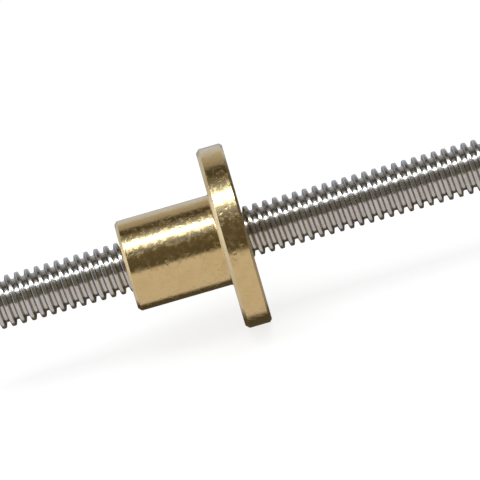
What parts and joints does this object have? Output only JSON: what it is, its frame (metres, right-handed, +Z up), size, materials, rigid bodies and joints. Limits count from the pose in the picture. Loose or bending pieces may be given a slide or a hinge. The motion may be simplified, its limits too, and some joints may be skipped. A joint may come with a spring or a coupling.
{
  "type": "trapezoidal lead screw with flanged nut",
  "caption": "Right-hand trapezoidal lead screw in bright steel with a round flanged brass nut that travels along it.",
  "frame": {"origin": "on the screw's axis, halfway along the screw", "axes": "+X along the screw, towards the end that the nut's flange faces; +Z up"},
  "size_m": [0.106, 0.036, 0.036],
  "materials": {
    "bright_steel": "bright rolled",
    "turned_brass": "fine turned"
  },
  "bodies": {
    "screw": {"lead_screw": "bright_steel"},
    "nut": {"flange_nut": "turned_brass"}
  },
  "joints": [
    {"name": "nut_travel", "type": "slide", "parent": "screw", "child": "nut", "axis": [1, 0, 0], "range_m": [-0.028, 0.05]}
  ]
}
